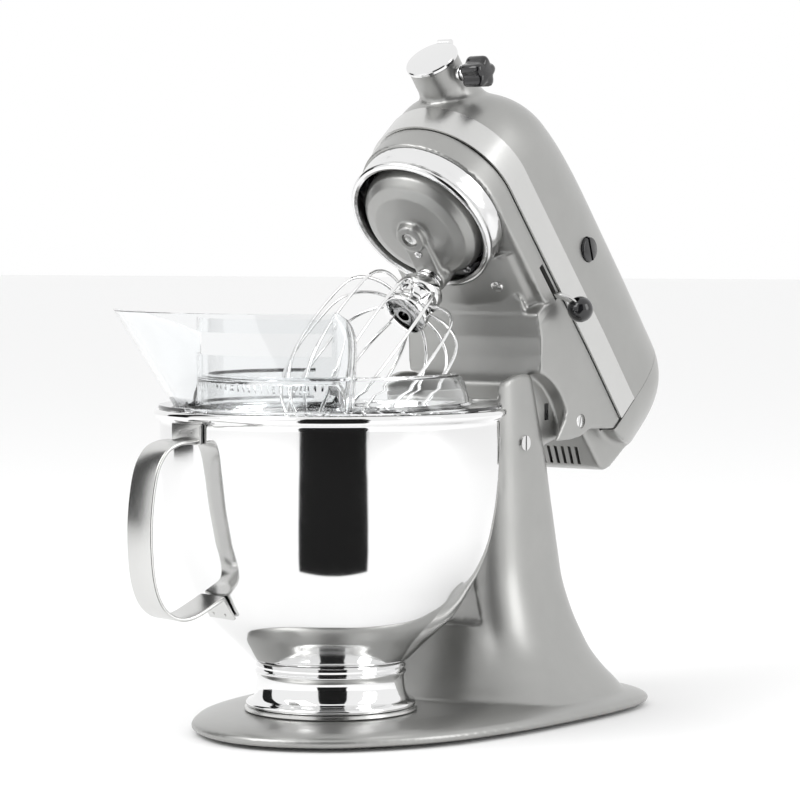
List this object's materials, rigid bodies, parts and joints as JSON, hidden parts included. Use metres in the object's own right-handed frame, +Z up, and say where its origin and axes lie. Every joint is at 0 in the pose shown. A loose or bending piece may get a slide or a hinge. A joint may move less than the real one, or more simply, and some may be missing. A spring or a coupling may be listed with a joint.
{
  "type": "stand mixer",
  "caption": "Tilt-head stand mixer, head raised: cast base and pedestal, steel bowl with strap handle, clear pouring shield, wire whisk on a planetary drive, hub with lid",
  "frame": {"origin": "the middle of the footprint, on the table the feet stand on", "axes": "+Z up, -Y towards the front of the mixer where the shield's spout points, +X to the side of the lock lever"},
  "size_m": [0.2229, 0.4734, 0.442],
  "materials": {
    "black": "gloss black",
    "bronze": "cast bronze",
    "brushed": "fine brushed steel",
    "chrome": "bright chrome",
    "clear": "clear moulded plastic",
    "copper": "copper windings",
    "iron": "dull machined iron",
    "paint": "satin metallic silver-grey enamel",
    "rubber": "matt dark rubber",
    "steel": "mirror-polished stainless steel"
  },
  "bodies": {
    "base": {"base_casting": "paint", "foot_1": "rubber", "foot_2": "rubber", "foot_3": "rubber", "foot_4": "rubber", "foot_5": "rubber", "bowl_clamp_plate": "steel", "hinge_pin": "chrome"},
    "bowl": {"bowl_shell": "steel", "bowl_foot": "steel", "bowl_handle": "brushed"},
    "shield": {"pouring_shield": "clear"},
    "head": {"head_upper_housing": "paint", "rear_cover": "paint", "head_lower_casing": "paint", "trim_band": "brushed", "drip_ring": "chrome", "brush_cap_left": "black", "brush_cap_right": "black", "casing_plug_left": "brushed", "casing_plug_right": "brushed", "hinge_screw_left": "chrome", "hinge_screw_right": "chrome", "cord_gland": "black", "motor_stator": "iron", "motor_brush_left": "iron", "motor_brush_right": "iron", "rear_bearing": "steel", "front_bearing": "steel", "planetary_ring_gear": "iron"},
    "armature": {"armature_core": "copper", "armature_shaft": "steel", "commutator": "copper", "cooling_fan": "black"},
    "counter": {"worm_wheel": "bronze", "counter_shaft": "steel"},
    "planetary": {"planetary_carrier": "paint", "carrier_screw": "chrome", "centre_shaft": "steel", "centre_wheel": "steel", "centre_bevel": "steel"},
    "beater": {"beater_shaft": "steel", "beater_pin": "steel", "beater_pinion": "steel", "beater_spring": "steel", "whisk_hub": "steel", "whisk_wires": "steel"},
    "power_hub": {"hub_drive": "brushed"},
    "lock": {"lock_lever": "brushed", "lock_lever_knob": "black"},
    "speed": {"speed_lever": "brushed", "speed_lever_knob": "black"},
    "hub_knob": {"knob_stem": "chrome", "attachment_knob": "black"},
    "hub_lid": {"hub_cap": "chrome"}
  },
  "joints": [
    {"name": "head_tilt", "type": "hinge", "parent": "base", "child": "head", "pos_m": [0, 0.04572, 0.1776], "axis": [1, 0, 0], "range_deg": [0, 50.7]},
    {"name": "bowl_turn", "type": "hinge", "parent": "base", "child": "bowl", "pos_m": [0, -0.09478, 0], "axis": [0, 0, 1], "range_deg": [0, 25]},
    {"name": "shield_turn", "type": "hinge", "parent": "bowl", "child": "shield", "pos_m": [0, -0.09478, 0.2], "axis": [0, 0, 1], "range_deg": [-12, 12]},
    {"name": "planetary_spin", "type": "hinge", "parent": "head", "child": "planetary", "pos_m": [0, 0.00366, 0.32371], "axis": [0, 0.7738, 0.6334], "continuous": true},
    {"name": "beater_spin", "type": "hinge", "parent": "planetary", "child": "beater", "pos_m": [0, 0.00198, 0.2784], "axis": [0, 0.7738, 0.6334], "continuous": true},
    {"name": "counter_spin", "type": "hinge", "parent": "head", "child": "counter", "pos_m": [0.0211, 0.07524, 0.33099], "axis": [0, 0.7738, 0.6334], "continuous": true},
    {"name": "motor_spin", "type": "hinge", "parent": "head", "child": "armature", "pos_m": [0, 0.1359, 0.26951], "axis": [0, -0.6334, 0.7738], "continuous": true},
    {"name": "hub_spin", "type": "hinge", "parent": "head", "child": "power_hub", "pos_m": [0, 0.03195, 0.40282], "axis": [0, -0.6334, 0.7738], "continuous": true},
    {"name": "lock_slide", "type": "slide", "parent": "head", "child": "lock", "axis": [0, -0.6334, 0.7738], "range_m": [0, 0.022]},
    {"name": "speed_slide", "type": "slide", "parent": "head", "child": "speed", "axis": [0, -0.6334, 0.7738], "range_m": [0, 0.055]},
    {"name": "knob_turn", "type": "hinge", "parent": "head", "child": "hub_knob", "pos_m": [0.03, 0.01865, 0.41907], "axis": [1, 0, 0], "range_deg": [0, 720]},
    {"name": "hub_lid_lift", "type": "hinge", "parent": "head", "child": "hub_lid", "pos_m": [0, 0.02607, 0.44], "axis": [-1, 0, 0], "range_deg": [0, 100]}
  ],
  "couplings": [
    {"joint": "beater_spin", "follows": "planetary_spin", "ratio": -4.2056},
    {"joint": "counter_spin", "follows": "planetary_spin", "ratio": -3.9621},
    {"joint": "hub_spin", "follows": "planetary_spin", "ratio": 1}
  ]
}
